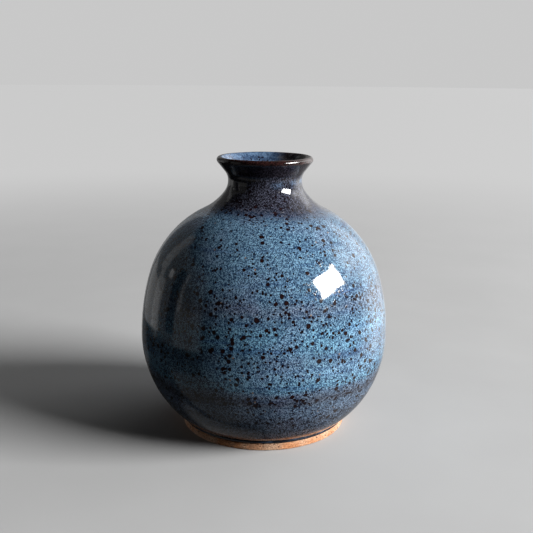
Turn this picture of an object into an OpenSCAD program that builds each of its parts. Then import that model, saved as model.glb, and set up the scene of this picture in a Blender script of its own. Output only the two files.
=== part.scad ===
// Ceramic bud vase: a round thrown stoneware bulb on a turned foot, with a short narrow neck,
// a flared mouth and a rounded lip. The clay stands on a bare foot ring, and the coats of glaze
// lie on it face to face. Millimetres, +Z up, origin at the centre of the foot on the table.
//
// Every section is a closed outline of arcs that join without a corner, turned round the axis.

/* [Overall] */
// Height from the table to the crest of the lip
height = 120; // [116:0.5:126]
// Widest diameter, glaze included
belly_d = 109.5; // [104:0.5:114]
// Height of the widest line above the table
belly_h = 41.5; // [39:0.5:44]
// Thickness of the belly's wall, glaze included
wall = 4.6; // [3.6:0.1:6]
// Thickness of every coat of glaze
glaze = 0.5; // [0.3:0.1:0.8]

/* [Shoulder] */
// Turn from upright at which the side hands over to the shoulder, in degrees
side_turn = 17; // [14:1:20]
// Steepest turn of the shoulder, in degrees
shoulder_turn = 64; // [61:1:67]
// Height at which the dark neck coat takes over from the body coat
dip_h = 97; // [92:0.5:104]

/* [Neck and mouth] */
// Narrowest outside diameter of the neck
neck_d = 32; // [28:0.5:36]
// Height of the lip's crest above the narrowest line
flare_h = 10.2; // [9.2:0.2:12]
// Turn at which the root of the neck hands over to the throat, in degrees
root_turn = 37; // [33:1:41]
// Radius of the hollow curve at the root of the neck
root_r = 26; // [22:0.5:30]
// Radius of the hollow curve below the narrowest line
throat_r = 8.75; // [7:0.25:10]
// Radius of the hollow curve above the narrowest line
flare_r = 6.3; // [5.5:0.1:7]
// Lean of the flared mouth from upright, in degrees
flare_lean = 38.5; // [32:0.5:40]
// Thickness of the neck's wall and of the round lip, glaze included
lip_t = 2.8; // [2.4:0.1:3.4]
// Depth of the brown rim coat below the crest
rim_depth = 1.8; // [1.4:0.1:2.6]

/* [Foot] */
// Outside diameter of the foot ring
foot_d = 73.6; // [72:0.2:76]
// Width of the foot ring
foot_w = 6; // [4:0.5:9]
// Height of the bare foot ring
foot_h = 3.2; // [2.6:0.1:3.6]
// Bevel on the foot ring's two lower edges
foot_bevel = 0.5; // [0.3:0.1:0.8]
// Height of the ridge where the body coat ends
ridge_h = 5.5; // [5:0.1:6]
// Radius of the body at the ridge, glaze included
ridge_r = 38.6; // [38.2:0.1:39.4]
// Depth of the groove between the ridge and the foot ring
groove = 1.2; // [0.8:0.1:1.6]

/* [Inside] */
// Height of the glazed floor inside
floor_h = 10.5; // [9:0.5:13]
// Turn at which the inside of the bowl hands over to the floor's corner, in degrees
bowl_turn = 48; // [45:1:52]
// Radius of the corner between the inside wall and the floor
corner_r = 14; // [10:0.5:17]

/* [Hidden] */
$fn = 120;

// Furthest that an outline's straight steps may cut inside its arcs
chord_gap = 0.02;
// Past every edge of the vase, for the bands that cut the coats
reach = belly_d / 2 + 10;
top = height + 10;

belly_r = belly_d / 2;
foot_r = foot_d / 2;
groove_r = foot_r - groove;
lip_r = lip_t / 2;
rim_h = height - rim_depth;
waist_h = height - flare_h;

// Unit vector at a turn up from level
function dir(turn) = [cos(turn), sin(turn)];
function reversed(list) = [for (i = [len(list) - 1:-1:0]) list[i]];

// An arc of an outline is [centre, radius, bulge, first turn, last turn]. A turn is that of the
// outward normal, and bulge is 1 where the outline swells and -1 where it is hollow. Peeling a
// layer off the outline keeps every centre and turn.
function arc_from(start, radius, bulge, first, last) =
    [start - bulge * radius * dir(first), radius, bulge, first, last];
function point_at(arc, turn, peel) = arc[0] + (arc[2] * arc[1] - peel) * dir(turn);
function start_of(arc, peel = 0) = point_at(arc, arc[3], peel);
function end_of(arc, peel = 0) = point_at(arc, arc[4], peel);

// The points along one arc after its first
function points_after(arc, peel) =
    let (
        turned = arc[4] - arc[3],
        steps = ceil(abs(turned) / (2 * acos(1 - chord_gap / arc[1])))
    )
    [for (i = [1:steps]) point_at(arc, arc[3] + turned * i / steps, peel)];

// The points along a chain of arcs, each of which starts where the one before ends
function trace(arcs, peel) =
    concat([start_of(arcs[0], peel)], [for (arc = arcs) each points_after(arc, peel)]);

// Radii of the side and the shoulder that join the belly to the waist without a corner, once the
// two hollow curves between them are chosen: two linear equations in two unknowns
function bulb_radii(belly, waist, root, throat) =
    let (
        hollow = root * (dir(shoulder_turn) - dir(root_turn)) + throat * (dir(root_turn) - dir(0)),
        gap = waist - belly - hollow,
        side = dir(side_turn) - dir(0),
        shoulder = dir(shoulder_turn) - dir(side_turn),
        det = side[0] * shoulder[1] - side[1] * shoulder[0]
    )
    [
        (gap[0] * shoulder[1] - gap[1] * shoulder[0]) / det,
        (gap[1] * side[0] - gap[0] * side[1]) / det,
    ];

// The five arcs from the belly's widest line up to the straight flare. The inside's arcs are
// those of a bulb that is t narrower at the neck.
function bulb(belly, t) =
    let (
        waist = [neck_d / 2 - t, waist_h],
        radii = bulb_radii(belly, waist, root_r + t, throat_r + t),
        side = arc_from(belly, radii[0], 1, 0, side_turn),
        shoulder = arc_from(end_of(side), radii[1], 1, side_turn, shoulder_turn),
        root = arc_from(end_of(shoulder), root_r + t, -1, shoulder_turn, root_turn),
        throat = arc_from(end_of(root), throat_r + t, -1, root_turn, 0),
        flare = arc_from(end_of(throat), flare_r + t, -1, 0, -flare_lean)
    )
    [side, shoulder, root, throat, flare];

// The keel is the arc through the ridge that stands upright at the belly's widest line. Under
// any layer it ends at the height of the ridge.
keel_run = belly_r - ridge_r;
keel_drop = belly_h - ridge_h;
keel_r = (keel_run * keel_run + keel_drop * keel_drop) / (2 * keel_run);
function keel(peel) = [[belly_r - keel_r, belly_h], keel_r, 1, -asin(keel_drop / (keel_r - peel)), 0];

outer_bulb = bulb([belly_r, belly_h], 0);
inner_bulb = bulb([belly_r - wall, belly_h], lip_t);

// The straight flare ends in a round bead as thick as itself
flare_start = end_of(outer_bulb[4]);
bead_start = flare_start - lip_r * dir(-flare_lean);
lip_centre = [bead_start[0] + (height - lip_r - bead_start[1]) * tan(flare_lean), height - lip_r];
lip = [
    [lip_centre, lip_r, 1, -flare_lean, 90],
    [lip_centre, lip_r, 1, 90, 180 - flare_lean],
];

// The bowl's arc leaves room for the corner's, which runs level into the floor
bowl_r = (belly_h - floor_h - corner_r * (1 - sin(bowl_turn))) / sin(bowl_turn);
bowl = [[belly_r - wall - bowl_r, belly_h], bowl_r, 1, -bowl_turn, 0];
corner = [start_of(bowl) - corner_r * dir(-bowl_turn), corner_r, 1, -90, -bowl_turn];

// The outside with a layer peeled off, from the ridge up and over the lip
function outside(peel) =
    concat(trace(concat([keel(peel)], outer_bulb), peel), trace(lip, peel));

// The inside with a layer of the wall peeled off, from the lip down to the middle of the floor
function inside(peel) =
    let (wall_up = trace(concat([corner, bowl], inner_bulb), -peel))
    concat([end_of(lip[1], peel)], reversed(wall_up), [[0, floor_h - peel]]);

// A band across the whole section between two heights
module band(low, high) {
    translate([0, low])
    square([reach, high - low]);
}

// The coat between an outline's surface and the clay under it
module outside_coat() {
    polygon(concat(outside(0), reversed(outside(glaze))));
}

module inside_coat() {
    polygon(concat(inside(0), reversed(inside(glaze))));
}

// Thrown clay: the wall, the floor and the neck, with the groove above the foot turned in
module stoneware_body() {
    color("#b98a63")
    rotate_extrude()
    polygon(concat(
        outside(glaze),
        inside(glaze),
        [[0, foot_h], [groove_r, foot_h], [groove_r, ridge_h]]
    ));
}

// Bare turned ring that the vase stands on
module foot_ring() {
    inner_r = foot_r - foot_w;
    color("#c98a55")
    rotate_extrude()
    polygon([
        [inner_r + foot_bevel, 0],
        [foot_r - foot_bevel, 0],
        [foot_r, foot_bevel],
        [foot_r, foot_h],
        [inner_r, foot_h],
        [inner_r, foot_bevel],
    ]);
}

// Blue speckled coat from the ridge up to the shoulder
module body_glaze() {
    color("#35506b")
    rotate_extrude()
    intersection() {
        outside_coat();
        band(0, dip_h);
    }
}

// Dark second coat over the shoulder and the neck
module neck_glaze() {
    color("#2a2731")
    rotate_extrude()
    intersection() {
        outside_coat();
        band(dip_h, rim_h);
    }
}

// Brown coat that wraps the lip
module rim_glaze() {
    color("#4a2c22")
    rotate_extrude()
    intersection() {
        union() {
            outside_coat();
            inside_coat();
        }
        band(rim_h, top);
    }
}

// Pale blue coat inside, from the rim down over the floor
module liner_glaze() {
    color("#5d7fa6")
    rotate_extrude()
    intersection() {
        inside_coat();
        band(0, rim_h);
    }
}

// Thick roll of glaze that gathered in the groove above the foot, round on its outside
module glaze_roll() {
    roll_centre = [groove_r + groove / 2, (ridge_h + foot_h) / 2];
    roll_h = ridge_h - foot_h;
    roll_r = roll_h / 2 + 0.1;
    color("#1f2c40")
    rotate_extrude()
    union() {
        translate([groove_r, foot_h])
        square([groove / 2, roll_h]);
        intersection() {
            translate([groove_r, foot_h])
            square([reach, roll_h]);
            translate(roll_centre)
            circle(r = roll_r);
        }
    }
}

stoneware_body();
foot_ring();
body_glaze();
neck_glaze();
rim_glaze();
liner_glaze();
glaze_roll();
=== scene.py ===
"""A hand-thrown stoneware bud vase with a speckled blue glaze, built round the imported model.

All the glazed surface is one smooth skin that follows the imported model's own section. Each coat of
glaze is a thin closed shell cut from that skin, so neighbouring coats meet without a step.
"""

import math

import bpy
import numpy as np
from mathutils import Euler, Matrix, Vector
from mathutils.bvhtree import BVHTree


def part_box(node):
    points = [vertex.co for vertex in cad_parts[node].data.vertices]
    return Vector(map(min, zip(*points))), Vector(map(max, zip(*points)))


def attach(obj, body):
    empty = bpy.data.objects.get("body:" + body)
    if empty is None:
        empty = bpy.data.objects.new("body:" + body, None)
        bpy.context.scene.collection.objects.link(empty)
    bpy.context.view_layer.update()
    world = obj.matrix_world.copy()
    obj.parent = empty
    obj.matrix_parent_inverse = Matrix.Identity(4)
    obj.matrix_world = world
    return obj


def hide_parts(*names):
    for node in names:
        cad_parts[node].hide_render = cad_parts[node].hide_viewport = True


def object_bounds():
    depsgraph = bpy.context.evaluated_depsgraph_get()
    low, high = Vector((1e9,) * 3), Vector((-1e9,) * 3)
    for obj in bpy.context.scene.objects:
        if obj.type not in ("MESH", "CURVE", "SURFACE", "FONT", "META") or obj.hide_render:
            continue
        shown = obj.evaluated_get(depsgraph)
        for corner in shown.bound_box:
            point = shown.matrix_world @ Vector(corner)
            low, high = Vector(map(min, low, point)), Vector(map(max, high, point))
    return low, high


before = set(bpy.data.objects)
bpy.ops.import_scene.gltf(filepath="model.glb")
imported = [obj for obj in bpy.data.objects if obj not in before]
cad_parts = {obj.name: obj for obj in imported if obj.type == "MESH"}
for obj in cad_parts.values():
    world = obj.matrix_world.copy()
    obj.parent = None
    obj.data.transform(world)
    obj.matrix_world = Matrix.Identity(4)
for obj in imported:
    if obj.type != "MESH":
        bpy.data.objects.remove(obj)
cad_low, cad_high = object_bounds()

MM = 0.001
VASE_HEIGHT = cad_high.z


# ---------------------------------------------------------------- the section, read from the frame

IN_PLANE = 0.001 * MM
ON_CLAY = 0.1 * MM
FINE_STEP = 0.05 * MM


def section(node):
    """Radius and height of a round node's corners, where its surface crosses the +X half plane."""
    points = np.array([v.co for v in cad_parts[node].data.vertices])
    crossing = (abs(points[:, 1]) < IN_PLANE) & (points[:, 0] > -IN_PLANE)
    return np.unique(points[crossing][:, [0, 2]].round(7), axis=0)


def open_corners(node, neighbours):
    """The corners of a coat's section that are on neither the clay nor another coat."""
    corners = section(node)
    others = np.vstack([section(name) for name in neighbours])
    to_others = np.linalg.norm(corners[:, None] - others[None], axis=2).min(axis=1)
    to_clay = np.array([clay_surface.find_nearest(Vector((r, 0, z)))[3] for r, z in corners])
    return corners[(to_clay > ON_CLAY) & (to_others > IN_PLANE)]


clay_surface = BVHTree.FromObject(
    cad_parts["stoneware_body"], bpy.context.evaluated_depsgraph_get())


def skin_corners():
    """The glazed surface's corners, from the foot up the outside, over the lip and down inside."""
    body = open_corners("body_glaze", ["neck_glaze"])
    neck = open_corners("neck_glaze", ["body_glaze", "rim_glaze"])
    rim = open_corners("rim_glaze", ["neck_glaze", "liner_glaze"])
    liner = open_corners("liner_glaze", ["rim_glaze"])
    crest_radius = rim[rim[:, 1].argmax(), 0]
    outside = np.vstack([body, neck, rim[rim[:, 0] >= crest_radius]])
    inside = np.vstack([rim[rim[:, 0] < crest_radius], liner])
    outside = outside[outside[:, 1].argsort()]
    inside = inside[inside[:, 1].argsort()[::-1]]
    return np.vstack([outside, inside])


def smooth_line(corners):
    """A natural cubic spline through the corners, as points one fine step apart."""
    gaps = np.linalg.norm(np.diff(corners, axis=0), axis=1)
    knots = np.concatenate([[0.0], np.cumsum(gaps)])
    count = len(knots)
    system = np.eye(count)
    wanted = np.zeros((count, 2))
    for i in range(1, count - 1):
        system[i, i - 1:i + 2] = gaps[i - 1], 2 * (gaps[i - 1] + gaps[i]), gaps[i]
        slopes = np.diff(corners[i - 1:i + 2], axis=0) / gaps[i - 1:i + 1, None]
        wanted[i] = 6 * (slopes[1] - slopes[0])
    bends = np.linalg.solve(system, wanted)
    along = np.linspace(0, knots[-1], int(knots[-1] / FINE_STEP))
    left = np.clip(np.searchsorted(knots, along, side="right") - 1, 0, count - 2)
    span = gaps[left][:, None]
    b = (along - knots[left])[:, None] / span
    a = 1 - b
    bow = ((a ** 3 - a) * bends[left] + (b ** 3 - b) * bends[left + 1]) * span ** 2 / 6
    return a * corners[left] + b * corners[left + 1] + bow


class Line:
    """A smooth section line that gives its points and outward directions by distance along it."""

    def __init__(self, corners):
        self.points = smooth_line(corners)
        steps = np.linalg.norm(np.diff(self.points, axis=0), axis=1)
        self.along = np.concatenate([[0.0], np.cumsum(steps)])
        self.length = self.along[-1]
        heading = np.gradient(self.points, self.along, axis=0)
        heading /= np.linalg.norm(heading, axis=1)[:, None]
        self.outward = np.stack([heading[:, 1], -heading[:, 0]], axis=1)

    def at(self, distance, values=None):
        values = self.points if values is None else values
        return np.stack([np.interp(distance, self.along, v) for v in values.T], axis=1)

    def facing(self, distance):
        return self.at(distance, self.outward)

    def crossing(self, height, inside=False):
        """The distance along at which the line passes a height, outside or inside the vase."""
        crest = self.points[:, 1].argmax()
        if inside:
            heights = self.points[crest:, 1][::-1]
            return np.interp(height, heights, self.along[crest:][::-1])
        return np.interp(height, self.points[:crest + 1, 1], self.along[:crest + 1])


skin = Line(skin_corners())
coat_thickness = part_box("body_glaze")[1].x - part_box("stoneware_body")[1].x
neck_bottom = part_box("neck_glaze")[0].z
rim_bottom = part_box("rim_glaze")[0].z
neck_start = skin.crossing(neck_bottom)
rim_start = skin.crossing(rim_bottom)
rim_end = skin.crossing(rim_bottom, inside=True)


# ---------------------------------------------------------------- the maker's hand: small unevenness

RNG = np.random.default_rng(41)
# The faint throwing rings that climb the wall
RING_PITCH = 5.2 * MM
RING_HEIGHT = 0.010 * MM
# The greatest rise of one lump, of which several overlap everywhere
LUMP_HEIGHT = 0.010 * MM
LUMP_COUNT = 26
# Nearer the axis than this the skin settles back onto the section
CALM_RADIUS = 9 * MM

lumps = [
    (RNG.integers(1, 9), RNG.uniform(18, 70) * MM, RNG.uniform(0, math.tau), RNG.uniform(0.3, 1.0))
    for _ in range(LUMP_COUNT)
]


def unevenness(along, radius, turn):
    """How far the skin stands off the section, for rows of points at these angles."""
    calm = np.clip(radius / CALM_RADIUS, 0, 1)[:, None]
    rings = np.sin(math.tau * along[:, None] / RING_PITCH - turn[None])
    total = RING_HEIGHT * rings
    for order, length, phase, share in lumps:
        wave = np.cos(order * turn[None] + math.tau * along[:, None] / length + phase)
        total = total + LUMP_HEIGHT * share * wave
    return calm * total


# ---------------------------------------------------------------- meshes of revolution

def angles(count):
    """This many turns, evenly spaced round the axis."""
    return np.arange(count) * math.tau / count


def swept(points, turn):
    """A grid of 3-D points: each (radius, height) row is turned round Z."""
    radius = points[:, 0][:, None] + 0 * turn[None]
    height = points[:, 1][:, None] + 0 * turn[None]
    return np.stack([radius * np.cos(turn), radius * np.sin(turn), height], axis=2)


def grid_faces(rows, columns, closed):
    """Quads between neighbouring rows of a grid whose rows are rings."""
    last = rows if closed else rows - 1
    r = np.arange(last)[:, None]
    c = np.arange(columns)[None]
    here = r * columns
    there = (r + 1) % rows * columns
    after = (c + 1) % columns
    return np.stack([here + c, here + after, there + after, there + c], axis=2).reshape(-1, 4)


def mesh_piece(name, points, faces, normals):
    """A smooth-shaded object with these normals at its points."""
    mesh = bpy.data.meshes.new(name)
    mesh.from_pydata(points.tolist(), [], faces)
    mesh.validate()
    mesh.polygons.foreach_set("use_smooth", [True] * len(mesh.polygons))
    mesh.normals_split_custom_set_from_vertices(normals.tolist())
    piece = bpy.data.objects.new(name, mesh)
    bpy.context.scene.collection.objects.link(piece)
    return piece


def grid_normals(grid):
    """Directions square to a grid of rings, from its own neighbouring points."""
    across = np.roll(grid, -1, axis=1) - np.roll(grid, 1, axis=1)
    up = np.gradient(grid, axis=0)
    normals = np.cross(across, up)
    return normals / np.maximum(np.linalg.norm(normals, axis=2), 1e-12)[:, :, None]


def coat(name, start, end, rows, columns, back_rows):
    """A thin closed shell of glaze: the uneven skin outside, and the clay's own surface behind it."""
    turn = angles(columns)
    margin = (end - start) / rows
    front_at = np.linspace(start, end, rows)
    ends_on_axis = end >= skin.length

    def lifted(distance):
        base = skin.at(distance)
        facing = skin.facing(distance)
        lift = unevenness(distance, base[:, 0], turn)
        grid = swept(base, turn)
        out = np.stack(
            [facing[:, :1] * np.cos(turn), facing[:, :1] * np.sin(turn), facing[:, 1:] + 0 * turn],
            axis=2,
        )
        return grid + out * lift[:, :, None]

    # One more row past each end gives the end rows the same normals as the next coat's.
    padded = np.concatenate([[start - margin], front_at, [end + margin]])
    front = lifted(np.clip(padded, 0, skin.length))
    front_normals = grid_normals(front)[1:-1]
    front = front[1:-1]
    back_at = np.linspace(end, start, back_rows)
    behind = skin.at(back_at) - coat_thickness * skin.facing(back_at)
    behind[:, 0] = np.maximum(behind[:, 0], 0)
    back = swept(behind, turn)
    back_normals = -grid_normals(back[::-1])[::-1]
    if not ends_on_axis:
        points = np.concatenate([front, back]).reshape(-1, 3)
        normals = np.concatenate([front_normals, back_normals]).reshape(-1, 3)
        faces = grid_faces(rows + back_rows, columns, closed=True)
        return mesh_piece(name, points, faces.tolist(), normals)
    return capped_piece(name, front[:-1], back[1:], front_normals[:-1], back_normals[1:])


def capped_piece(name, front, back, front_normals, back_normals):
    """A shell whose front and back each close in a point on the axis."""
    columns = front.shape[1]
    rings = np.concatenate([back, front])
    normals = np.concatenate([back_normals, front_normals]).reshape(-1, 3)
    count = len(rings)
    points = rings.reshape(-1, 3)
    floor_height = skin.points[-1, 1]
    poles = np.array([[0, 0, floor_height - coat_thickness], [0, 0, floor_height]])
    points = np.vstack([points, poles])
    normals = np.vstack([normals, [[0, 0, -1], [0, 0, 1]]])
    faces = grid_faces(count, columns, closed=False).tolist()
    first_pole = count * columns
    top = (count - 1) * columns
    for c in range(columns):
        after = (c + 1) % columns
        faces.append([first_pole, after, c])
        faces.append([first_pole + 1, top + c, top + after])
    return mesh_piece(name, points, faces, normals)


OUTSIDE_COLUMNS = 320
LINER_COLUMNS = 256
body_coat = coat("body_glaze_coat", 0.0, neck_start, 260, OUTSIDE_COLUMNS, back_rows=24)
neck_coat = coat("neck_glaze_coat", neck_start, rim_start, 110, OUTSIDE_COLUMNS, back_rows=16)
rim_coat = coat("rim_glaze_coat", rim_start, rim_end, 60, OUTSIDE_COLUMNS, back_rows=12)
liner_coat = coat("liner_glaze_coat", rim_end, skin.length, 250, LINER_COLUMNS, back_rows=40)


# ---------------------------------------------------------------- the roll of glaze above the foot

ROLL_ROWS = 24
ROLL_BACK_ROWS = 4
ROLL_COLUMNS = 480
# How far the roll sags in broad swells and in short ones
BROAD_SAG = 0.10 * MM
SHORT_SAG = 0.06 * MM


def roll_of_glaze():
    """The thick bead that gathered in the groove, a little uneven in thickness."""
    corners = section("glaze_roll")
    inner = corners[:, 0].min()
    outer = corners[corners[:, 0] > inner + ON_CLAY]
    outer = outer[outer[:, 1].argsort()]
    line = Line(outer)
    turn = angles(ROLL_COLUMNS)
    distance = np.linspace(0, line.length, ROLL_ROWS)
    base = line.at(distance)
    bulge = np.sin(math.pi * distance / line.length)[:, None]
    broad = BROAD_SAG * np.sin(3 * turn + 1.0)
    short = SHORT_SAG * np.sin(11 * turn + 4 * np.sin(2 * turn))
    sag = broad + short
    base_grid = swept(base, turn)
    outward = np.stack([np.cos(turn), np.sin(turn), 0 * turn], axis=1)
    front = base_grid + outward[None] * (bulge * sag[None])[:, :, None]
    back_heights = np.linspace(base[-1, 1], base[0, 1], ROLL_BACK_ROWS)
    behind = np.stack([np.full(ROLL_BACK_ROWS, inner), back_heights], axis=1)
    back = swept(behind, turn)
    back_normals = -np.tile(outward, (ROLL_BACK_ROWS, 1, 1))
    normals = np.concatenate([grid_normals(front), back_normals]).reshape(-1, 3)
    points = np.concatenate([front, back]).reshape(-1, 3)
    faces = grid_faces(ROLL_ROWS + ROLL_BACK_ROWS, ROLL_COLUMNS, closed=True)
    return mesh_piece("glaze_roll_bead", points, faces.tolist(), normals)


glaze_bead = roll_of_glaze()


# ---------------------------------------------------------------- the turned foot ring

def rounded_section(low, high, fillet, steps=5):
    """A rectangle in (radius, height), its corners rounded, running round anticlockwise."""
    corners = [
        (high[0] - fillet, low[1] + fillet, -90),
        (high[0] - fillet, high[1] - fillet, 0),
        (low[0] + fillet, high[1] - fillet, 90),
        (low[0] + fillet, low[1] + fillet, 180),
    ]
    line = []
    for x, z, first in corners:
        for a in np.radians(np.linspace(first, first + 90, steps)):
            line.append((x + fillet * math.cos(a), z + fillet * math.sin(a)))
    return np.array(line)


def resampled(loop, spacing):
    """The closed loop again, with points evenly spaced along it."""
    closed = np.vstack([loop, loop[:1]])
    along = np.concatenate([[0.0], np.cumsum(np.linalg.norm(np.diff(closed, axis=0), axis=1))])
    wanted = np.arange(0, along[-1], along[-1] / round(along[-1] / spacing))
    return np.stack([np.interp(wanted, along, closed[:, i]) for i in range(2)], axis=1)


LATTICE_SIZE = 4096
# Large primes, which scatter neighbouring cells over the lattice
LATTICE_KEYS = (73856093, 19349663, 83492791)


def grain(points, size, seed):
    """Smooth random numbers from -1 to 1 at 3-D points, by interpolating a random lattice."""
    lattice = np.random.default_rng(seed).uniform(-1, 1, LATTICE_SIZE)
    p = points / size
    cell = np.floor(p).astype(int)
    t = p - cell
    t = t * t * (3 - 2 * t)
    total = np.zeros(points.shape[:-1])
    for corner in np.ndindex(2, 2, 2):
        at = cell + np.array(corner)
        scattered = at * np.array(LATTICE_KEYS)
        key = (scattered[..., 0] ^ scattered[..., 1] ^ scattered[..., 2]) % LATTICE_SIZE
        weight = np.prod(np.where(np.array(corner), t, 1 - t), axis=-1)
        total += weight * lattice[key]
    return total


FOOT_COLUMNS = 720
FOOT_FILLET = 0.45 * MM
FOOT_SPACING = 0.3 * MM
FINE_GRAIN = 0.035 * MM
FINE_GRAIN_SIZE = 0.7 * MM
COARSE_GRAIN = 0.05 * MM
COARSE_GRAIN_SIZE = 2.6 * MM
GROOVE_DEPTH = 0.03 * MM
GROOVE_PITCH = 0.9 * MM
# The whole surface stands back this far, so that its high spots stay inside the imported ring
FOOT_INSET = 0.06 * MM


def ring_normals(grid):
    """Directions square to a grid whose rows also close round on themselves."""
    return grid_normals(np.concatenate([grid[-1:], grid, grid[:1]]))[1:-1]


def foot():
    """The bare ring that the vase stands on: trimmed with a tool, so lightly grooved and grainy."""
    corners = section("foot_ring")
    low, high = corners.min(axis=0), corners.max(axis=0)
    loop = resampled(rounded_section(low, high, FOOT_FILLET), FOOT_SPACING)
    turn = angles(FOOT_COLUMNS)
    grid = swept(loop, turn)
    fine = FINE_GRAIN * grain(grid, FINE_GRAIN_SIZE, 5)
    coarse = COARSE_GRAIN * grain(grid, COARSE_GRAIN_SIZE, 6)
    grooves = GROOVE_DEPTH * np.sin(math.tau * (loop[:, :1] + loop[:, 1:]) / GROOVE_PITCH)
    lift = fine + coarse + grooves - FOOT_INSET
    grid = grid + ring_normals(grid) * lift[:, :, None]
    grid[:, :, 2] = np.maximum(grid[:, :, 2], low[1])
    normals = ring_normals(grid)
    faces = grid_faces(len(loop), len(turn), closed=True)
    points = grid.reshape(-1, 3)
    return mesh_piece("turned_foot_ring", points, faces.tolist(), normals.reshape(-1, 3))


foot_piece = foot()


# ---------------------------------------------------------------- materials

def connect(tree, socket, value):
    """Links another node's output to the socket, or sets it to a number or a colour."""
    if isinstance(value, bpy.types.NodeSocket):
        tree.links.new(value, socket)
    else:
        socket.default_value = value


def add_node(tree, kind, inputs, settings):
    """A new shader node with its settings, and then its inputs, in place."""
    node = tree.nodes.new("ShaderNode" + kind)
    for key, value in settings.items():
        setattr(node, key, value)
    for key, value in (inputs or {}).items():
        connect(tree, node.inputs[key], value)
    return node


class Nodes:
    """Adds nodes to one new material. Inputs are numbers, colours or other nodes' outputs."""

    def __init__(self, name):
        self.material = bpy.data.materials.new(name)
        self.material.use_nodes = True
        self.tree = self.material.node_tree
        self.tree.nodes.clear()
        self.shader = self.add("BsdfPrincipled")
        output = self.add("OutputMaterial")
        self.tree.links.new(self.shader.outputs[0], output.inputs[0])
        where = self.add("TexCoord").outputs["Object"]
        self.position = self.scale(where, 1 / MM)
        parts = self.add("SeparateXYZ", {0: self.position}).outputs
        self.x = parts[0]
        self.height = parts[2]

    def add(self, kind, inputs=None, **settings):
        return add_node(self.tree, kind, inputs, settings)

    def feed(self, **inputs):
        """Sets the shader's own inputs: a number as it is, and an output by a link."""
        for key, value in inputs.items():
            connect(self.tree, self.shader.inputs[key.replace("_", " ")], value)

    def maths(self, operation, a, b=0.0, c=0.0):
        return self.add("Math", {0: a, 1: b, 2: c}, operation=operation).outputs[0]

    def scale(self, vector, factor):
        node = self.add("VectorMath", {0: vector, 3: factor}, operation="SCALE")
        return node.outputs[0]

    def stretch(self, vector, factors):
        node = self.add("VectorMath", {0: vector, 1: factors}, operation="MULTIPLY")
        return node.outputs[0]

    def shift(self, vector, by):
        node = self.add("VectorMath", {0: vector, 1: by}, operation="ADD")
        return node.outputs[0]

    def mix(self, share, a, b, blend="MIX"):
        inputs = {0: share, 6: a, 7: b}
        return self.add("Mix", inputs, data_type="RGBA", blend_type=blend).outputs[2]

    def tinted(self, base, tint):
        """The colour multiplied by a tint."""
        return self.mix(1.0, base, colour(tint), "MULTIPLY")

    def step(self, value, low, high):
        """0 below low, 1 above high, and a smooth rise between."""
        inputs = {0: value, 1: low, 2: high, 3: 0.0, 4: 1.0}
        return self.add("MapRange", inputs, interpolation_type="SMOOTHSTEP").outputs[0]

    def noise(self, vector, size, detail=2.0, roughness=0.5):
        """Smooth random numbers round 0.5, in patches of about this size in millimetres."""
        inputs = {"Vector": vector, "Scale": 1 / size, "Detail": detail, "Roughness": roughness}
        return self.add("TexNoise", inputs).outputs[0]

    def by_height(self, height, stops):
        """A colour, or a number given as a grey, that changes with the height in millimetres."""
        share = self.add("MapRange", {0: height, 1: 0.0, 2: VASE_HEIGHT / MM}).outputs[0]
        ramp = self.add("ValToRGB", {0: share})
        elements = ramp.color_ramp.elements
        ramp.color_ramp.interpolation = "EASE"
        while len(elements) < len(stops):
            elements.new(1.0)
        for element, (where, value) in zip(elements, stops):
            element.position = where * MM / VASE_HEIGHT
            element.color = colour(value)
        return ramp.outputs[0]

    def bump(self, relief, height):
        """A surface normal raised by the relief, whose 1 stands this many millimetres high."""
        return self.add("Bump", {"Height": relief, "Distance": height * MM}).outputs[0]


def colour(value):
    """A number as a grey, or three numbers as a colour, with a solid alpha."""
    return (value, value, value, 1) if isinstance(value, (int, float)) else (*value, 1)


# A speck's edge is this soft, and its middle begins and is full this far in from its edge, in mm
SPECK_SOFTNESS = 0.12
SPECK_MIDDLE = (0.25, 0.6)


def specks(n, vector, cell, radius, density):
    """Round iron specks, one to a cell at most. Returns how much speck, and how near its middle."""
    found = n.add("TexVoronoi", {"Vector": vector, "Scale": 1 / cell})
    rolls = n.add("SeparateColor", {0: found.outputs["Color"]}).outputs
    size = n.maths("MULTIPLY_ADD", rolls[1], 0.6 * radius / cell, 0.5 * radius / cell)
    depth = n.maths("SUBTRACT", size, found.outputs["Distance"])
    shown = n.maths("LESS_THAN", rolls[0], density)
    edge = SPECK_SOFTNESS / cell
    mask = n.maths("MULTIPLY", n.step(depth, -edge / 2, edge / 2), shown)
    begins, full = SPECK_MIDDLE
    middle = n.maths("MULTIPLY", n.step(depth, begins / cell, full / cell), shown)
    return mask, middle


def speck_layers(n, patchy):
    """All the sizes of speck together, thick or sparse by height and in loose clusters."""
    warp = n.add("TexNoise", {"Vector": n.position, "Scale": 0.9, "Detail": 1.0}).outputs["Color"]
    amount = (SPECK_WARP, SPECK_WARP, SPECK_WARP)
    bent = n.add("VectorMath", {0: warp, 1: amount, 2: n.position}, operation="MULTIPLY_ADD")
    place = bent.outputs[0]
    mask, middle = 0.0, 0.0
    for cell, radius, offset, stops in SPECK_LAYERS:
        density = n.by_height(n.wavy, stops)
        density = n.maths("MULTIPLY", density, patchy)
        one, core = specks(n, n.shift(place, (offset, 2 * offset, 3 * offset)), cell, radius, density)
        mask = n.maths("MAXIMUM", mask, one)
        middle = n.maths("MAXIMUM", middle, core)
    return mask, middle


# How far the specks are bent out of round, in mm
SPECK_WARP = 0.5
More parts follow.
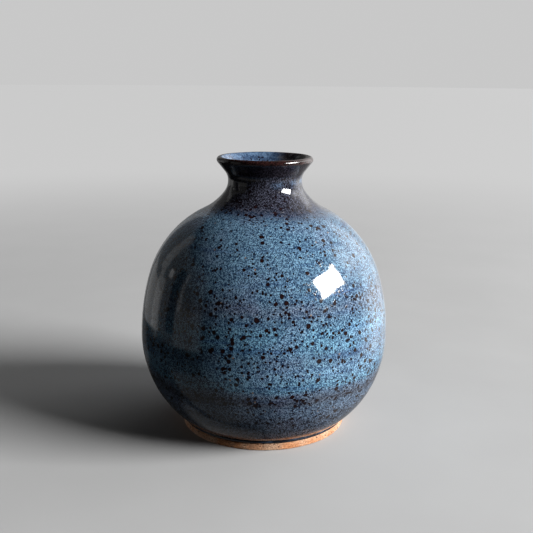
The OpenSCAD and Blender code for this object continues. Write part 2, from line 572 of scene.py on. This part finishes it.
# Each layer: cell size and greatest radius in mm, an offset, and how many cells hold one, by height.
SPECK_LAYERS = [
    (2.5, 0.97, 11.0, [
        (9, 0.10), (14, 0.35), (20, 0.45), (24, 0.25), (29, 0.95), (33, 0.45), (40, 0.45), (47, 0.75),
        (55, 0.90), (60, 0.65), (64, 0.95), (69, 0.95), (73, 0.30), (84, 0.28), (95, 0.25), (99, 0.45),
        (104, 0.05)]),
    (1.8, 0.56, 37.0, [
        (9, 0.50), (18, 0.95), (24, 0.85), (29, 0.98), (33, 0.60), (42, 0.60), (52, 0.80), (60, 0.70),
        (68, 0.90), (73, 0.45), (90, 0.35), (97, 0.60), (101, 0.90), (106, 0.50), (118, 0.40)]),
    (1.2, 0.36, 71.0, [
        (6, 0.30), (14, 0.95), (24, 0.95), (30, 0.90), (40, 0.35), (60, 0.35), (70, 0.50), (78, 0.25),
        (92, 0.30), (100, 0.95), (112, 0.80), (118, 0.60)]),
]

# The blue glaze's shades. Thin glaze shows the clay, and the bands are where the coat is thick or thin.
RIDGE_BROWN = (0.15, 0.09, 0.07)
RIDGE_EDGE = (0.08, 0.08, 0.10)
BAND_DARK = (0.022, 0.035, 0.062)
BAND_BLUE = (0.032, 0.06, 0.11)
SOFT_BLUE = (0.03, 0.07, 0.13)
CLEAR_BLUE = (0.033, 0.088, 0.162)
BRIGHT_BLUE = (0.04, 0.095, 0.175)
GLAZE_BY_HEIGHT = [
    (7, RIDGE_BROWN),
    (9, RIDGE_EDGE),
    (13, BAND_DARK),
    (18, BAND_DARK),
    (22, BAND_BLUE),
    (25, BAND_BLUE),
    (28, BAND_DARK),
    (31, BAND_BLUE),
    (34, CLEAR_BLUE),
    (40, BRIGHT_BLUE),
    (46, SOFT_BLUE),
    (50, CLEAR_BLUE),
    (56, CLEAR_BLUE),
    (60, SOFT_BLUE),
    (65, BAND_BLUE),
    (70, SOFT_BLUE),
    (92, SOFT_BLUE),
]
STREAK_TINT = (0.60, 0.66, 0.80)
VIOLET_TINT = (1.15, 0.96, 0.98)
# The grain: each crystal's colour is the glaze's own times something between these
GRAIN_DARK = (0.30, 0.36, 0.46)
GRAIN_LIGHT = (5.60, 4.30, 3.20)
LOW_GRAIN = (0.190, 0.270, 0.390)
SPECK_BLACK = (0.006, 0.003, 0.005)
SPECK_BROWN = (0.015, 0.006, 0.006)
OCHRE = (0.22, 0.12, 0.045)
NECK_DARK = (0.005, 0.0045, 0.0065)
NECK_BLUE = (0.078, 0.084, 0.120)
# A blue glaze streak, made brighter on the lit side: partly painted light
NECK_STREAK_LIT = (0.075, 0.125, 0.205)
# Painted shade under the flaring lip: darker, and a little warm for the glaze's maroon
FLARE_SHADE_TINT = (0.60, 0.48, 0.48)
RIM_BROWN = (0.034, 0.013, 0.012)
RIM_BLACK = (0.006, 0.003, 0.003)
LINER_DARK = (0.016, 0.030, 0.062)
LINER_LIGHT = (0.085, 0.140, 0.225)
# Inside, on the side that faces away from the window light: the glaze's brown, darkened by painted shade
LINER_SHADED_BROWN_DARK = (0.020, 0.014, 0.014)
LINER_SHADED_BROWN_LIGHT = (0.095, 0.085, 0.088)
POOLED_BLACK = (0.010, 0.013, 0.020)
POOLED_BLUE = (0.045, 0.075, 0.130)
# The roll's lower edge against the foot ring: painted shade in that crease, on the glaze's own dark edge
POOLED_EDGE_SHADE = (0.012, 0.006, 0.005)
CLAY_TOASTED = (0.64, 0.28, 0.12)
CLAY_SANDY = (0.64, 0.41, 0.27)
CLAY_TINT = (0.40, 0.33, 0.28)
CLAY_IRON = (0.030, 0.012, 0.008)
GLAZE_IOR = 1.52
CLAY_IOR = 1.45

# Heights in millimetres between which one look takes over from another
NECK_EDGE = (neck_bottom / MM + 1.0, neck_bottom / MM + 6.0)
LIP_EDGE = (rim_bottom / MM - 0.2, rim_bottom / MM + 0.6)
LOW_EDGE = (27, 20)
FLARE_SHADE_EDGE = (111.5, 114.5)
OCHRE_EDGE = (98, 92)
LINER_SHADED_BROWN_EDGE = (102, 110)
NECK_STREAK_HEIGHT = 109.5
MOUTH_EDGE = skin.points[skin.points[:, 1].argmax(), 0] / MM - 0.3
# The bands of glaze wander up and down by these heights in all: in slow waves and in quick ones
SLOW_WANDER = 5.0
QUICK_WANDER = 2.4
# These move a pattern of specks sideways, to a different part of its random cells
OCHRE_SHIFT = (5, 90, 31)
IRON_SHIFT = (3, 7, 2)
# Thickness of a speck or of a crystal in the glaze, and of the sand in bare clay, in mm
GLAZE_RELIEF = 0.02
ROLL_RELIEF = 0.03
CLAY_RELIEF = 0.12


def start_glaze(name):
    """A material with the wavy height that the blue coats share."""
    n = Nodes(name)
    slow = n.noise(n.position, 24, 1.0)
    quick = n.noise(n.position, 6, 2.0)
    slow_rise = n.maths("MULTIPLY_ADD", slow, SLOW_WANDER, -SLOW_WANDER / 2)
    rise = n.maths("MULTIPLY_ADD", quick, QUICK_WANDER, slow_rise)
    n.wavy = n.maths("ADD", n.height, n.maths("SUBTRACT", rise, QUICK_WANDER / 2))
    return n


def grained(n, base):
    """The colour broken into fine crystals, darker and lighter. Returns it and the crystals' pattern."""
    cloud = n.noise(n.position, 0.32, 1.0, 0.6)
    broad = n.noise(n.position, 2.6, 2.0, 0.6)
    cells = n.add("TexVoronoi", {"Vector": n.position, "Scale": 1 / 0.37}).outputs["Color"]
    roll = n.add("SeparateColor", {0: cells}).outputs[2]
    pattern = n.maths("MULTIPLY_ADD", cloud, 0.95, -0.30)
    pattern = n.maths("MULTIPLY_ADD", broad, 0.14, pattern)
    pattern = n.maths("MULTIPLY_ADD", roll, 0.52, pattern)
    share = n.maths("POWER", n.step(pattern, 0.22, 0.80), 1.9)
    return n.mix(share, n.tinted(base, GRAIN_DARK), n.tinted(base, GRAIN_LIGHT)), pattern


def liner_colour(n):
    """The lighter, mottled blue that was poured inside. On the +X side inside the flare, where the wall
    faces away from the window light, it turns to a darker brown: partly the glaze's own brown, partly
    painted shade.
    """
    cloud = n.noise(n.position, 0.7, 3.0, 0.7)
    broad = n.noise(n.position, 3.0, 2.0)
    blend = n.maths("MULTIPLY_ADD", broad, 0.6, cloud)
    blue = n.mix(n.step(blend, 0.64, 1.00), colour(LINER_DARK), colour(LINER_LIGHT))
    brown = n.mix(n.step(blend, 0.70, 1.00), colour(LINER_SHADED_BROWN_DARK), colour(LINER_SHADED_BROWN_LIGHT))
    # Painted shade: the darker brown is kept to the +X side, whose inner wall faces away from the window
    # light
    side = n.maths("MULTIPLY_ADD", blend, 9.0, n.x)
    burnt = n.maths("MULTIPLY", n.step(side, 11.0, 17.0), n.step(n.height, *LINER_SHADED_BROWN_EDGE))
    return n.mix(burnt, blue, brown)


def mottled_blue(n):
    """The blue by height, with level streaks and violet patches. Returns it and the patches' pattern."""
    base = n.by_height(n.wavy, GLAZE_BY_HEIGHT)
    streaks = n.noise(n.stretch(n.position, (0.05, 0.05, 0.8)), 2.2, 3.0)
    base = n.mix(n.step(streaks, 0.50, 0.72), base, n.tinted(base, STREAK_TINT))
    patches = n.noise(n.position, 17, 2.0)
    return n.mix(n.step(patches, 0.48, 0.72), base, n.tinted(base, VIOLET_TINT)), patches


def dark_neck(n, base, grains, patches):
    """The darker neck: its lower edge is a cloud of fine dots, not a line, and it dips to the right.
    Under the flare it is darkened by painted shade.
    """
    sloped = n.maths("MULTIPLY_ADD", n.x, 0.05, n.wavy)
    neck_edge = n.maths("MULTIPLY_ADD", grains, 5.0, sloped)
    neck_colour = n.mix(n.step(grains, 0.40, 0.88), colour(NECK_DARK), colour(NECK_BLUE))
    base = n.mix(n.step(neck_edge, *NECK_EDGE), base, neck_colour)
    # A broken blue streak under the flare, kept to the lit +X side and brighter than the neck's glaze: a
    # glaze streak with painted light
    ring = n.maths("ABSOLUTE", n.maths("SUBTRACT", n.wavy, NECK_STREAK_HEIGHT))
    streak = n.maths("MULTIPLY", n.step(ring, 2.2, 0.4), n.step(patches, 0.40, 0.52))
    streak = n.maths("MULTIPLY", streak, n.step(grains, 0.25, 0.60))
    streak = n.maths("MULTIPLY", streak, n.step(n.x, 1, 8))
    base = n.mix(streak, base, colour(NECK_STREAK_LIT))
    # Painted shade: under the flaring lip the colour is darkened, and a little warmed towards the glaze's
    # maroon
    return n.mix(n.step(n.wavy, *FLARE_SHADE_EDGE), base, n.tinted(base, FLARE_SHADE_TINT))


def add_specks(n, base, lip):
    """Ochre spots and iron specks, which leave the lip clear. Returns the colour and where specks are."""
    clusters = n.noise(n.position, 5.5, 1.0)
    patchy = n.maths("MULTIPLY_ADD", n.step(clusters, 0.36, 0.62), 1.0, 0.45)
    mask, middle = speck_layers(n, patchy)
    mask = n.maths("MULTIPLY", mask, n.step(lip, 0.6, 0.1))
    ochre, _ = specks(n, n.shift(n.position, OCHRE_SHIFT), 4.2, 0.42, 0.55)
    ochre = n.maths("MULTIPLY", ochre, n.step(n.wavy, *OCHRE_EDGE))
    base = n.mix(n.maths("MULTIPLY", ochre, 0.75), base, colour(OCHRE))
    return n.mix(mask, base, n.mix(middle, colour(SPECK_BLACK), colour(SPECK_BROWN))), mask


def outside_glaze(name, mouth=False):
    """Blue speckled glaze that breaks to iron brown on the neck, the lip and the ridge at the foot, with
    painted shade under the flare.
    """
    n = start_glaze(name)
    base, patches = mottled_blue(n)
    base, grains = grained(n, base)
    low = n.maths("MULTIPLY", n.step(n.wavy, *LOW_EDGE), n.step(grains, 0.55, 0.85))
    base = n.mix(low, base, colour(LOW_GRAIN))
    base = dark_neck(n, base, grains, patches)
    lip = n.step(n.maths("MULTIPLY_ADD", grains, 0.8, n.height), *LIP_EDGE)
    burnt = n.mix(n.step(grains, 0.35, 0.75), colour(RIM_BLACK), colour(RIM_BROWN))
    base = n.mix(lip, base, burnt)
    base, mask = add_specks(n, base, lip)
    if mouth:
        flat = n.stretch(n.position, (1, 1, 0))
        radius = n.add("VectorMath", {0: flat}, operation="LENGTH").outputs["Value"]
        inner = n.step(n.maths("MULTIPLY_ADD", grains, -0.6, radius), MOUTH_EDGE, MOUTH_EDGE - 0.7)
        base = n.mix(inner, base, liner_colour(n))
    relief = n.maths("MULTIPLY_ADD", mask, 0.5, n.maths("MULTIPLY", grains, 0.10))
    pitted = n.noise(n.position, 0.9, 2.0)
    relief = n.maths("ADD", relief, n.maths("MULTIPLY", lip, n.maths("MULTIPLY", pitted, 2.6)))
    gloss = n.maths("MULTIPLY_ADD", grains, 0.05, 0.045)
    n.feed(
        Base_Color=base,
        Roughness=n.maths("MULTIPLY_ADD", mask, 0.08, gloss),
        IOR=GLAZE_IOR,
        Normal=n.bump(relief, GLAZE_RELIEF),
    )
    return n.material


def liner_glaze():
    """The poured blue glaze inside, with a few specks."""
    n = start_glaze("liner_blue_glaze")
    base = liner_colour(n)
    mask, middle = speck_layers(n, 1.0)
    base = n.mix(mask, base, n.mix(middle, colour(SPECK_BLACK), colour(SPECK_BROWN)))
    relief = n.noise(n.position, 1.2, 2.0)
    n.feed(
        Base_Color=base,
        Roughness=n.maths("MULTIPLY_ADD", mask, 0.08, n.maths("MULTIPLY_ADD", relief, 0.05, 0.06)),
        IOR=GLAZE_IOR,
        Normal=n.bump(n.maths("ADD", mask, relief), GLAZE_RELIEF),
    )
    return n.material


def roll_glaze():
    """Thick glaze where it pooled: near black, with a blue milky bloom in places."""
    n = Nodes("pooled_dark_glaze")
    bloom = n.noise(n.stretch(n.position, (0.3, 0.3, 1.4)), 2.0, 3.0, 0.6)
    base = n.mix(n.step(bloom, 0.45, 0.75), colour(POOLED_BLACK), colour(POOLED_BLUE))
    # Painted shade: the lowest part of the roll, in the crease against the foot ring, is made near black
    low = n.step(n.height, 3.9, 3.3)
    base = n.mix(low, base, colour(POOLED_EDGE_SHADE))
    n.feed(
        Base_Color=base,
        Roughness=n.maths("MULTIPLY_ADD", bloom, 0.12, 0.20),
        IOR=GLAZE_IOR,
        Normal=n.bump(n.noise(n.position, 1.5), ROLL_RELIEF),
    )
    return n.material


def bare_clay(name):
    """Fired stoneware with no glaze: sandy orange-brown, with grog, pinholes and iron specks."""
    n = Nodes(name)
    tone = n.noise(n.position, 9, 3.0)
    sand = n.noise(n.position, 0.45, 3.0, 0.7)
    base = n.mix(n.step(tone, 0.35, 0.65), colour(CLAY_TOASTED), colour(CLAY_SANDY))
    base = n.mix(n.step(sand, 0.38, 0.62), n.tinted(base, CLAY_TINT), base)
    iron, _ = specks(n, n.shift(n.position, IRON_SHIFT), 1.5, 0.42, 0.50)
    base = n.mix(n.maths("MULTIPLY", iron, 0.9), base, colour(CLAY_IRON))
    turned = n.maths("SINE", n.maths("MULTIPLY", n.height, 9.0))
    relief = n.maths("MULTIPLY_ADD", turned, 0.12, sand)
    n.feed(
        Base_Color=base,
        Roughness=n.maths("MULTIPLY_ADD", sand, 0.2, 0.66),
        IOR=CLAY_IOR,
        Normal=n.bump(relief, CLAY_RELIEF),
    )
    return n.material


# ---------------------------------------------------------------- each piece's material and place

def finish_piece(piece, material, slot, *nodes):
    """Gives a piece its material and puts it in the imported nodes' place."""
    piece.data.materials.clear()
    piece.data.materials.append(material)
    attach(piece, "root")
    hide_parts(*nodes)


finish_piece(body_coat, outside_glaze("blue_speckled_glaze"), "body_glaze", "body_glaze")
finish_piece(neck_coat, outside_glaze("dark_neck_glaze"), "neck_glaze", "neck_glaze")
finish_piece(rim_coat, outside_glaze("brown_rim_glaze", mouth=True), "rim_glaze", "rim_glaze")
finish_piece(liner_coat, liner_glaze(), "liner_glaze", "liner_glaze")
finish_piece(glaze_bead, roll_glaze(), "rolled_glaze", "glaze_roll")
finish_piece(foot_piece, bare_clay("bare_foot_clay"), "stoneware", "foot_ring")

clay_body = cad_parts["stoneware_body"]
clay_body.data.materials.clear()
clay_body.data.materials.append(bare_clay("bare_body_clay"))


# ---------------------------------------------------------------- floor, light and camera

FLOOR_RADIUS = 9.0
FLOOR_SIDES = 96
BACKDROP = 0.58
# Distances from the vase, in mm, between which the floor's own glow takes over
FLOOR_FADE = (120, 1000)


def plain_floor():
    """A flat pale floor. Away from the vase its own soft glow takes over and runs into the backdrop."""
    mesh = bpy.data.meshes.new("floor")
    turn = angles(FLOOR_SIDES)
    edge = [(FLOOR_RADIUS * math.cos(t), FLOOR_RADIUS * math.sin(t), 0) for t in turn]
    mesh.from_pydata(edge, [], [tuple(range(len(edge)))])
    floor = bpy.data.objects.new("floor", mesh)
    bpy.context.scene.collection.objects.link(floor)
    n = Nodes("pale_floor")
    cloud = n.noise(n.position, 60, 3.0)
    away = n.add("VectorMath", {0: n.position}, operation="LENGTH").outputs["Value"]
    open_floor = n.step(away, *FLOOR_FADE)
    near = n.mix(cloud, colour(0.33), colour(0.37))
    n.feed(
        Base_Color=n.mix(open_floor, near, colour(0.01)),
        Roughness=0.8,
        Specular_IOR_Level=0.1,
        Emission_Color=colour(1.0),
        Emission_Strength=n.maths("MULTIPLY", open_floor, BACKDROP),
    )
    mesh.materials.append(n.material)
    # The room's own light stands in for what the floor would throw back at the vase.
    floor.visible_diffuse = False
    floor.visible_glossy = False
    return floor


def direction(azimuth, elevation):
    """Unit vector towards a light. Azimuth 0 is the camera's side and 90 is its right."""
    a, e = math.radians(azimuth), math.radians(elevation)
    return Vector((math.sin(a) * math.cos(e), -math.cos(a) * math.cos(e), math.sin(e)))


def soft_light(name, azimuth, elevation, distance, width, height, power, turn=0):
    """A rectangle of light aimed at the middle of the vase, turned in its own plane by some degrees."""
    data = bpy.data.lights.new(name, "AREA")
    data.shape = "RECTANGLE"
    data.size = width
    data.size_y = height
    data.energy = power
    light = bpy.data.objects.new(name, data)
    aim = Vector((0, 0, VASE_HEIGHT / 2))
    towards = direction(azimuth, elevation)
    light.location = aim + towards * distance
    facing = towards.to_track_quat("Z", "Y").to_matrix()
    light.rotation_euler = (facing @ Matrix.Rotation(math.radians(turn), 3, "Z")).to_euler()
    light.visible_camera = False
    bpy.context.scene.collection.objects.link(light)
    return light


# What the glaze mirrors: azimuth from and to, elevation from and to, softness, all in degrees, and
# strength. A negative one darkens.
ROOM = [
    (112, 132, -20, 32, 12, 1.2),
    (128, 146, 8, 32, 12, 1.0),
    (100, 148, -18, 34, 14, 1.25),
    (140, 172, -22, 42, 12, 0.45),
    (94, 116, 17, 38, 12, 2.6),
    (95, 178, -24, 52, 24, 0.55),
    (36, 110, -32, -4, 20, 0.40),
    (60, 130, -60, -22, 14, 0.40),
    (100, 140, 34, 62, 20, 0.5),
    (40, 170, -90, -28, 20, 0.12),
    (-70, 30, -90, -28, 30, 0.04),
    (-165, -60, -13, 34, 4, 0.14),
    (-180, -140, -24, -13, 3, 0.07),
    (-100, -15, -75, -28, 10, 0.14),
    (-180, -110, -85, -48, 10, 0.12),
    (130, 180, -50, -26, 10, 0.22),
    (-152, -115, -14, 0, 1.5, 0.26),
    (-127, -112, -13, 6, 1, 0.30),
    (-132, -120, 6, 36, 1, 0.26),
    (-100, -89, -10, 24, 1.5, -0.14),
    (-89, -58, -13, 4, 1, 0.14),
    (-87, -84, 0, 24, 1, 0.40),
    (-112, -106, 11, 16, 1, 0.8),
    (-180, -157, -18, 28, 3, 0.26),
]
ROOM_DIM = 0.01


def world_light():
    """A dim room with soft bright and dark panels, behind a plain pale backdrop."""
    world = bpy.data.worlds.new("studio")
    bpy.context.scene.world = world
    world.use_nodes = True
    tree = world.node_tree
    tree.nodes.clear()

    def add(kind, inputs=None, **settings):
        return add_node(tree, kind, inputs, settings).outputs

    def maths(operation, a, b=0.0, c=0.0):
        return add("Math", {0: a, 1: b, 2: c}, operation=operation)[0]

    def band(angle, first, last, soft):
        """1 between two angles and 0 outside them, with soft ends."""
        off = maths("ABSOLUTE", maths("SUBTRACT", angle, (first + last) / 2))
        edge = (last - first) / 2
        inputs = {0: off, 1: edge + soft / 2, 2: edge - soft / 2, 3: 0.0, 4: 1.0}
        return add("MapRange", inputs, interpolation_type="SMOOTHSTEP")[0]

    x, y, z = add("SeparateXYZ", {0: add("TexCoord")["Generated"]})
    azimuth = maths("DEGREES", maths("ARCTAN2", x, maths("MULTIPLY", y, -1.0)))
    elevation = maths("DEGREES", maths("ARCSINE", z))
    total = ROOM_DIM
    for first, last, low, high, soft, strength in ROOM:
        panel = maths("MULTIPLY", band(azimuth, first, last, soft), band(elevation, low, high, soft))
        total = maths("MULTIPLY_ADD", panel, strength, total)
    room = add("Background", {"Strength": total})[0]
    seen = add("Background", {"Color": colour(BACKDROP)})[0]
    camera_ray = add("LightPath")["Is Camera Ray"]
    add("OutputWorld", {0: add("MixShader", {0: camera_ray, 1: room, 2: seen})[0]})


# The camera looks down and to the right by these degrees, and is rolled a little
LOOK_DOWN = 13.68
LOOK_RIGHT = 0.161
ROLL = 0.44
EYE_BACK = 345.8 * MM
EYE_HEIGHT = 155.2 * MM
LENS = 53.98
SENSOR = 36
NEAREST_SEEN = 10 * MM


def camera():
    """The camera, in front of the vase and a little above its rim."""
    data = bpy.data.cameras.new("camera")
    data.lens = LENS
    data.sensor_width = SENSOR
    data.clip_start = NEAREST_SEEN
    eye = bpy.data.objects.new("camera", data)
    eye.location = (0, -EYE_BACK, EYE_HEIGHT)
    look = Euler((math.radians(90 - LOOK_DOWN), 0, math.radians(-LOOK_RIGHT))).to_matrix()
    eye.rotation_euler = (look @ Matrix.Rotation(math.radians(ROLL), 3, "Z")).to_euler()
    bpy.context.scene.collection.objects.link(eye)
    bpy.context.scene.camera = eye


def back_light(floor):
    """Fills in the side away from the camera. It adds no mirror image and leaves the floor alone."""
    light = soft_light(
        "back_fill", azimuth=180, elevation=20, distance=1.5, width=1.0, height=1.0, power=24)
    light.visible_glossy = False
    unlit = bpy.data.collections.new("unlit_by_back_fill")
    unlit.objects.link(floor)
    light.light_linking.receiver_collection = unlit
    unlit.collection_objects[0].light_linking.link_state = "EXCLUDE"


world_light()
soft_light(
    "window", azimuth=71.3, elevation=25, distance=2.5, width=1.28, height=0.78, power=184, turn=6)
back_light(plain_floor())
camera()
bpy.context.scene.view_settings.view_transform = "Standard"
